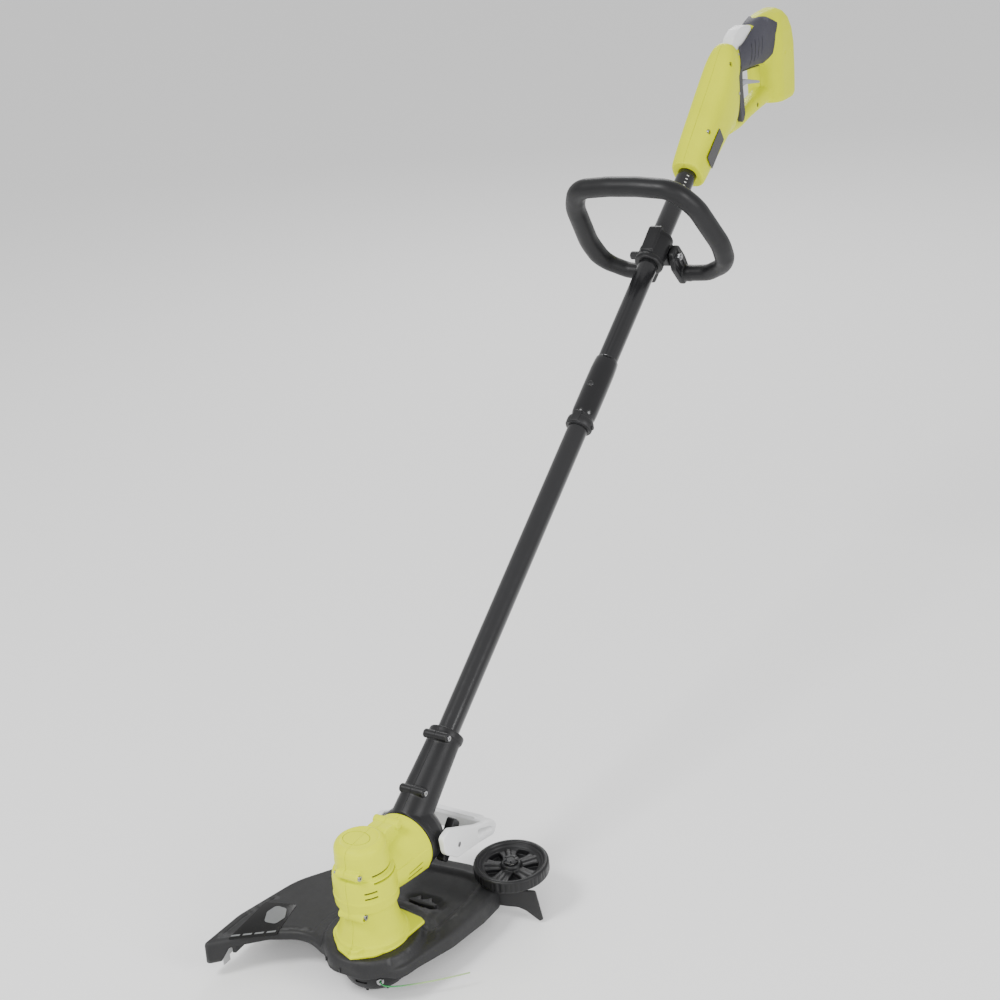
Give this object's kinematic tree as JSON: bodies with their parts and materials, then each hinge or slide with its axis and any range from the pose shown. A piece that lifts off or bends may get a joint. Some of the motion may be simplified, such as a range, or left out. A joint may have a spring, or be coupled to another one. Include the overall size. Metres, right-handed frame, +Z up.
{
  "type": "string trimmer",
  "caption": "Battery string trimmer: motor head with guard, line spool and edging wheel that rolls on a sloping tube, with a loop handle and a rear trigger handle.",
  "frame": {"origin": "centre of the underside of the spool cap, on the spin axis of the spool", "axes": "+Z up the spin axis of the motor; +Y back under the sloping tube towards the operator; +X to the operator's left, the flat side of the guard"},
  "size_m": [0.2951, 1.2831, 0.8313],
  "materials": {
    "lime": "satin",
    "black_plastic": "satin",
    "black_paint": "gloss",
    "grey_plastic": "satin",
    "soft_grip": "matte",
    "steel": "satin",
    "zinc": "satin",
    "brass": "satin",
    "magnet": "matte",
    "line_green": "satin",
    "cable_black": "matte",
    "lead_red": "matte",
    "white_plastic": "matte"
  },
  "bodies": {
    "frame": {"lower_tube": "black_paint", "upper_tube": "black_paint", "joint_sleeve": "black_paint", "joint_collar": "black_plastic", "button_spring": "steel", "elbow_left": "lime", "elbow_right": "lime", "elbow_screws": "zinc", "tube_plug": "black_plastic", "pedal_pin": "steel", "pedal_spring": "steel", "handle_shell_left": "lime", "handle_shell_right": "lime", "handle_screws": "zinc", "grip_left": "soft_grip", "grip_right": "soft_grip", "side_badge": "black_paint", "trigger_pin": "steel", "trigger_spring": "steel", "lock_off_pin": "steel", "lock_off_spring": "steel", "power_switch": "black_plastic", "terminal_block": "black_plastic", "terminal_blades": "brass", "battery_leads": "lead_red", "motor_cable": "cable_black"},
    "head": {"housing_left": "lime", "housing_right": "lime", "housing_screws": "zinc", "roll_collar": "black_plastic", "motor_can": "steel", "motor_magnets": "magnet", "motor_end_cap": "white_plastic", "motor_bearings": "steel", "motor_screws": "zinc", "motor_leads": "lead_red", "guard": "black_plastic", "guard_screws": "zinc", "cutoff_blade": "steel", "blade_screws": "zinc", "wheel_axle": "zinc"},
    "spool": {"rotor": "steel", "drive_hub": "brass", "spool_cup": "black_plastic", "spool_cap": "black_plastic", "line_eyelet": "steel", "cutting_line": "line_green", "feed_spring": "steel"},
    "line_pack": {"line_spool": "black_plastic", "wound_line": "line_green"},
    "wheel": {"edge_wheel": "black_plastic", "wheel_bush": "white_plastic"},
    "pedal": {"foot_pedal": "grey_plastic"},
    "clamp": {"handle_clamp": "black_plastic"},
    "front_loop": {"handle_loop": "black_plastic", "tilt_bolt": "zinc", "tilt_nut": "zinc"},
    "trigger_blade": {"trigger": "grey_plastic"},
    "lock_lever": {"lock_off": "grey_plastic"},
    "latch_button": {"joint_button": "zinc"}
  },
  "joints": [
    {"name": "head_roll", "type": "hinge", "parent": "frame", "child": "head", "pos_m": [0, 0.0774, 0.122], "axis": [0, 1, 0], "range_deg": [0, 90]},
    {"name": "spool_spin", "type": "hinge", "parent": "head", "child": "spool", "pos_m": [0, 0, 0.02], "axis": [0, 0, 1], "continuous": true},
    {"name": "line_feed", "type": "slide", "parent": "spool", "child": "line_pack", "axis": [0, 0, 1], "range_m": [0, 0.0015], "stiffness_N_per_m": 300, "springref_m": -0.006, "deforming": ["feed_spring"]},
    {"name": "wheel_spin", "type": "hinge", "parent": "head", "child": "wheel", "pos_m": [0.078, 0.166, 0.054], "axis": [0, 0, 1], "continuous": true},
    {"name": "pedal_press", "type": "hinge", "parent": "frame", "child": "pedal", "pos_m": [0, 0.114, 0.108], "axis": [1, 0, 0], "range_deg": [-6, 0], "stiffness_Nm_per_rad": 0.8, "springref_deg": 8.59, "deforming": ["pedal_spring"]},
    {"name": "handle_slide", "type": "slide", "parent": "frame", "child": "clamp", "axis": [0, 0.8302, 0.5575], "range_m": [-0.12, 0.06]},
    {"name": "handle_tilt", "type": "hinge", "parent": "clamp", "child": "front_loop", "pos_m": [0.00109, 0.77798, 0.58287], "axis": [0.9978, -0.0369, 0.055], "range_deg": [-20, 20]},
    {"name": "trigger_pull", "type": "hinge", "parent": "frame", "child": "trigger_blade", "pos_m": [0, 1.001, 0.746], "axis": [1, 0, 0], "range_deg": [0, 8], "stiffness_Nm_per_rad": 0.3, "springref_deg": -20.05, "deforming": ["trigger_spring"]},
    {"name": "lock_off_press", "type": "hinge", "parent": "frame", "child": "lock_lever", "pos_m": [0, 1.022, 0.794], "axis": [1, 0, 0], "range_deg": [-8, 0], "stiffness_Nm_per_rad": 0.3, "springref_deg": 20.05, "deforming": ["lock_off_spring"]},
    {"name": "latch_press", "type": "slide", "parent": "frame", "child": "latch_button", "axis": [0, 0.5575, -0.8302], "range_m": [0, 0.0035], "stiffness_N_per_m": 400, "springref_m": -0.004, "deforming": ["button_spring"]}
  ]
}
